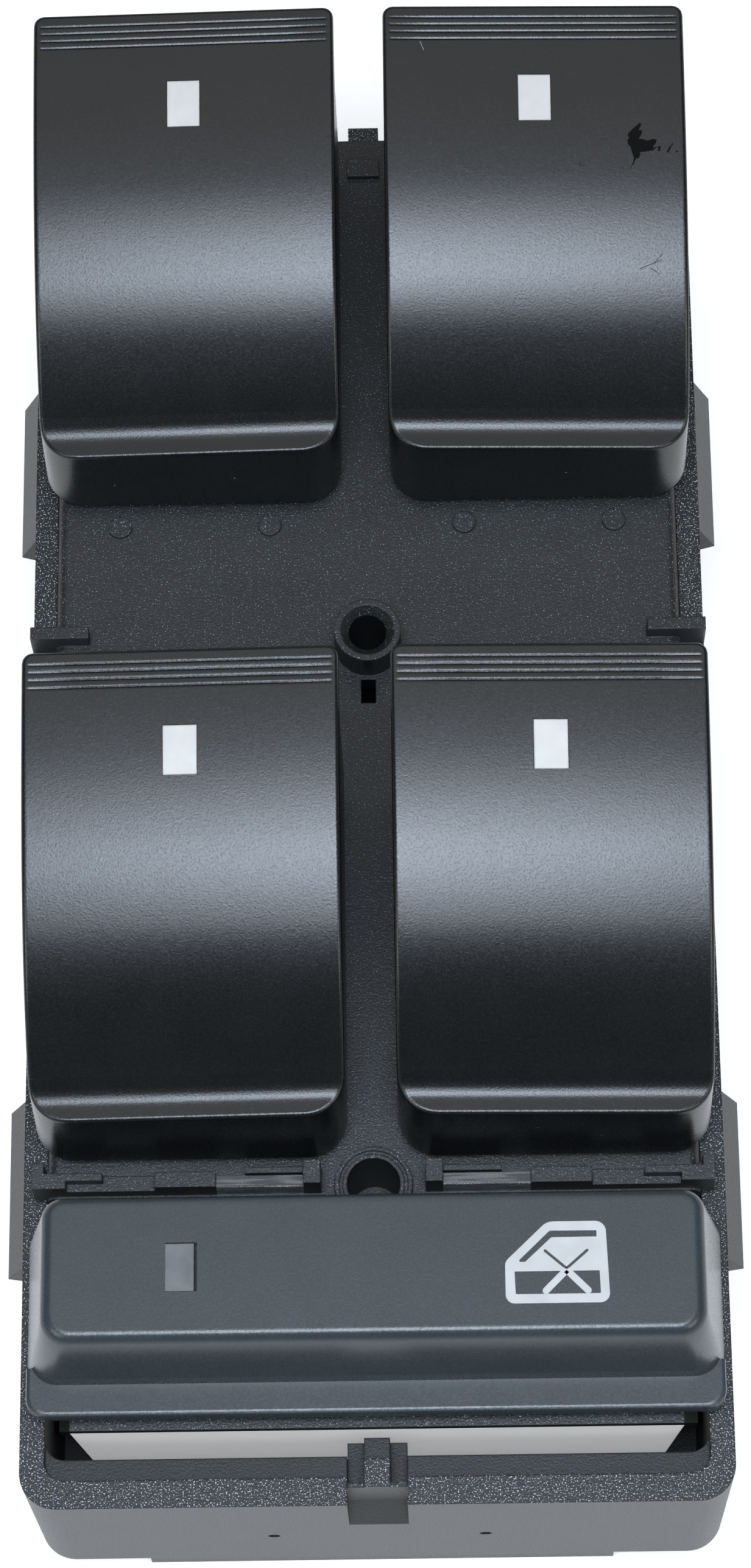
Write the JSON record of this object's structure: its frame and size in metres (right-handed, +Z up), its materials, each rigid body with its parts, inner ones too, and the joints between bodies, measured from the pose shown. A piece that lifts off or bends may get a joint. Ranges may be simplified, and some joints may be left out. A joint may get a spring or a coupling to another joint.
{
  "type": "power window switch",
  "caption": "Long black switch unit with sprung finger-pull rockers in two rows, a wide window-lock push key at its near end, and a plug socket underneath.",
  "frame": {"origin": "on the resting plane, under the middle of the unit's outer box", "axes": "+X to the right as seen from the lock key's end, +Y from the lock key's end towards the far rockers, +Z up, out of the panel"},
  "size_m": [0.061, 0.1256, 0.0485],
  "materials": {
    "case_black": "fine spark texture",
    "rocker_black": "satin",
    "white_plastic": "translucent white",
    "clear_plastic": "clear, polished",
    "lens_grey": "translucent grey",
    "board_green": "solder mask",
    "silicone": "translucent silicone",
    "tinned_metal": "tinned",
    "plunger_white": "natural acetal",
    "lamp_yellow": "lamp body with phosphor"
  },
  "bodies": {
    "housing": {"base_case": "case_black", "top_housing": "case_black", "light_bars": "clear_plastic", "light_guide": "white_plastic", "circuit_board": "board_green", "connector_header": "case_black", "terminal_pins": "tinned_metal", "leds": "lamp_yellow", "lock_dome": "silicone", "dome_pad_rear_left": "silicone", "dome_pad_rear_right": "silicone", "dome_pad_front_left": "silicone", "dome_pad_front_right": "silicone"},
    "rocker_rear_left": {"rocker_rear_left": "rocker_black", "window_rear_left": "white_plastic"},
    "plunger_push_rear_left": {"plunger_push_rear_left": "plunger_white"},
    "plunger_pull_rear_left": {"plunger_pull_rear_left": "plunger_white"},
    "rocker_rear_right": {"rocker_rear_right": "rocker_black", "window_rear_right": "white_plastic"},
    "plunger_push_rear_right": {"plunger_push_rear_right": "plunger_white"},
    "plunger_pull_rear_right": {"plunger_pull_rear_right": "plunger_white"},
    "rocker_front_left": {"rocker_front_left": "rocker_black", "window_front_left": "white_plastic"},
    "plunger_push_front_left": {"plunger_push_front_left": "plunger_white"},
    "plunger_pull_front_left": {"plunger_pull_front_left": "plunger_white"},
    "rocker_front_right": {"rocker_front_right": "rocker_black", "window_front_right": "white_plastic"},
    "plunger_push_front_right": {"plunger_push_front_right": "plunger_white"},
    "plunger_pull_front_right": {"plunger_pull_front_right": "plunger_white"},
    "lock_key": {"lock_key": "rocker_black", "lock_lens": "lens_grey"}
  },
  "joints": [
    {"name": "rocker_rear_left_tilt", "type": "hinge", "parent": "housing", "child": "rocker_rear_left", "pos_m": [-0.01495, 0.034, 0.031], "axis": [1, 0, 0], "range_deg": [-6, 6], "stiffness_Nm_per_rad": 0.35, "deforming": ["dome_pad_rear_left"]},
    {"name": "plunger_push_rear_left_slide", "type": "slide", "parent": "housing", "child": "plunger_push_rear_left", "axis": [0, 0, 1], "range_m": [-0.0008, 0.0008]},
    {"name": "plunger_pull_rear_left_slide", "type": "slide", "parent": "housing", "child": "plunger_pull_rear_left", "axis": [0, 0, 1], "range_m": [-0.00065, 0.00065]},
    {"name": "rocker_rear_right_tilt", "type": "hinge", "parent": "housing", "child": "rocker_rear_right", "pos_m": [0.01495, 0.034, 0.031], "axis": [1, 0, 0], "range_deg": [-6, 6], "stiffness_Nm_per_rad": 0.35, "deforming": ["dome_pad_rear_right"]},
    {"name": "plunger_push_rear_right_slide", "type": "slide", "parent": "housing", "child": "plunger_push_rear_right", "axis": [0, 0, 1], "range_m": [-0.0008, 0.0008]},
    {"name": "plunger_pull_rear_right_slide", "type": "slide", "parent": "housing", "child": "plunger_pull_rear_right", "axis": [0, 0, 1], "range_m": [-0.00065, 0.00065]},
    {"name": "rocker_front_left_tilt", "type": "hinge", "parent": "housing", "child": "rocker_front_left", "pos_m": [-0.01495, -0.025, 0.031], "axis": [1, 0, 0], "range_deg": [-6, 6], "stiffness_Nm_per_rad": 0.35, "deforming": ["dome_pad_front_left"]},
    {"name": "plunger_push_front_left_slide", "type": "slide", "parent": "housing", "child": "plunger_push_front_left", "axis": [0, 0, 1], "range_m": [-0.0008, 0.0008]},
    {"name": "plunger_pull_front_left_slide", "type": "slide", "parent": "housing", "child": "plunger_pull_front_left", "axis": [0, 0, 1], "range_m": [-0.00065, 0.00065]},
    {"name": "rocker_front_right_tilt", "type": "hinge", "parent": "housing", "child": "rocker_front_right", "pos_m": [0.01495, -0.025, 0.031], "axis": [1, 0, 0], "range_deg": [-6, 6], "stiffness_Nm_per_rad": 0.35, "deforming": ["dome_pad_front_right"]},
    {"name": "plunger_push_front_right_slide", "type": "slide", "parent": "housing", "child": "plunger_push_front_right", "axis": [0, 0, 1], "range_m": [-0.0008, 0.0008]},
    {"name": "plunger_pull_front_right_slide", "type": "slide", "parent": "housing", "child": "plunger_pull_front_right", "axis": [0, 0, 1], "range_m": [-0.00065, 0.00065]},
    {"name": "lock_key_press", "type": "slide", "parent": "housing", "child": "lock_key", "axis": [0, 0, 1], "range_m": [-0.0012, 0], "stiffness_N_per_m": 1200, "deforming": ["lock_dome"]}
  ],
  "couplings": [
    {"joint": "plunger_push_rear_left_slide", "follows": "rocker_rear_left_tilt", "m_per_rad": 0.0075},
    {"joint": "plunger_pull_rear_left_slide", "follows": "rocker_rear_left_tilt", "m_per_rad": -0.006},
    {"joint": "plunger_push_rear_right_slide", "follows": "rocker_rear_right_tilt", "m_per_rad": 0.0075},
    {"joint": "plunger_pull_rear_right_slide", "follows": "rocker_rear_right_tilt", "m_per_rad": -0.006},
    {"joint": "plunger_push_front_left_slide", "follows": "rocker_front_left_tilt", "m_per_rad": 0.0075},
    {"joint": "plunger_pull_front_left_slide", "follows": "rocker_front_left_tilt", "m_per_rad": -0.006},
    {"joint": "plunger_push_front_right_slide", "follows": "rocker_front_right_tilt", "m_per_rad": 0.0075},
    {"joint": "plunger_pull_front_right_slide", "follows": "rocker_front_right_tilt", "m_per_rad": -0.006}
  ]
}
